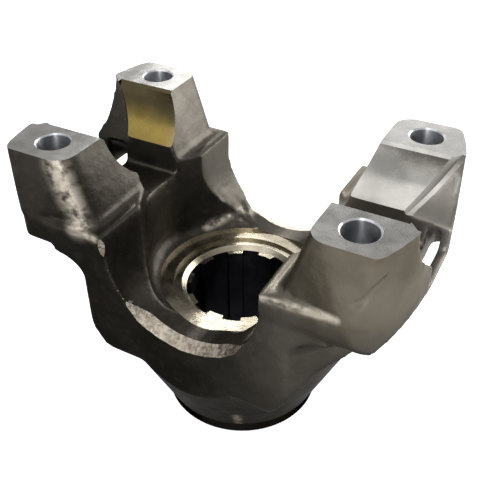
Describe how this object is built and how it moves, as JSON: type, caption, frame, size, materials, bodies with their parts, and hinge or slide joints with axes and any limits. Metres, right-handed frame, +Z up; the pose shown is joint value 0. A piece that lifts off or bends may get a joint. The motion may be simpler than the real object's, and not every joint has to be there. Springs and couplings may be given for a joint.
{
  "type": "universal joint yoke",
  "caption": "Forged steel end yoke: ears with half-round saddles for bearing cups and bolt holes beside them, on a round body with a splined bore.",
  "frame": {"origin": "on the bore axis, at the hub's rear face", "axes": "+Z up along the splined bore towards the ears, X along the bearing cups from ear to ear, Y across the ears"},
  "size_m": [0.172, 0.105, 0.136],
  "materials": {
    "forged_steel": "oiled forged skin, with machined seats left bare"
  },
  "bodies": {
    "root": {"yoke": "forged_steel"}
  },
  "joints": []
}
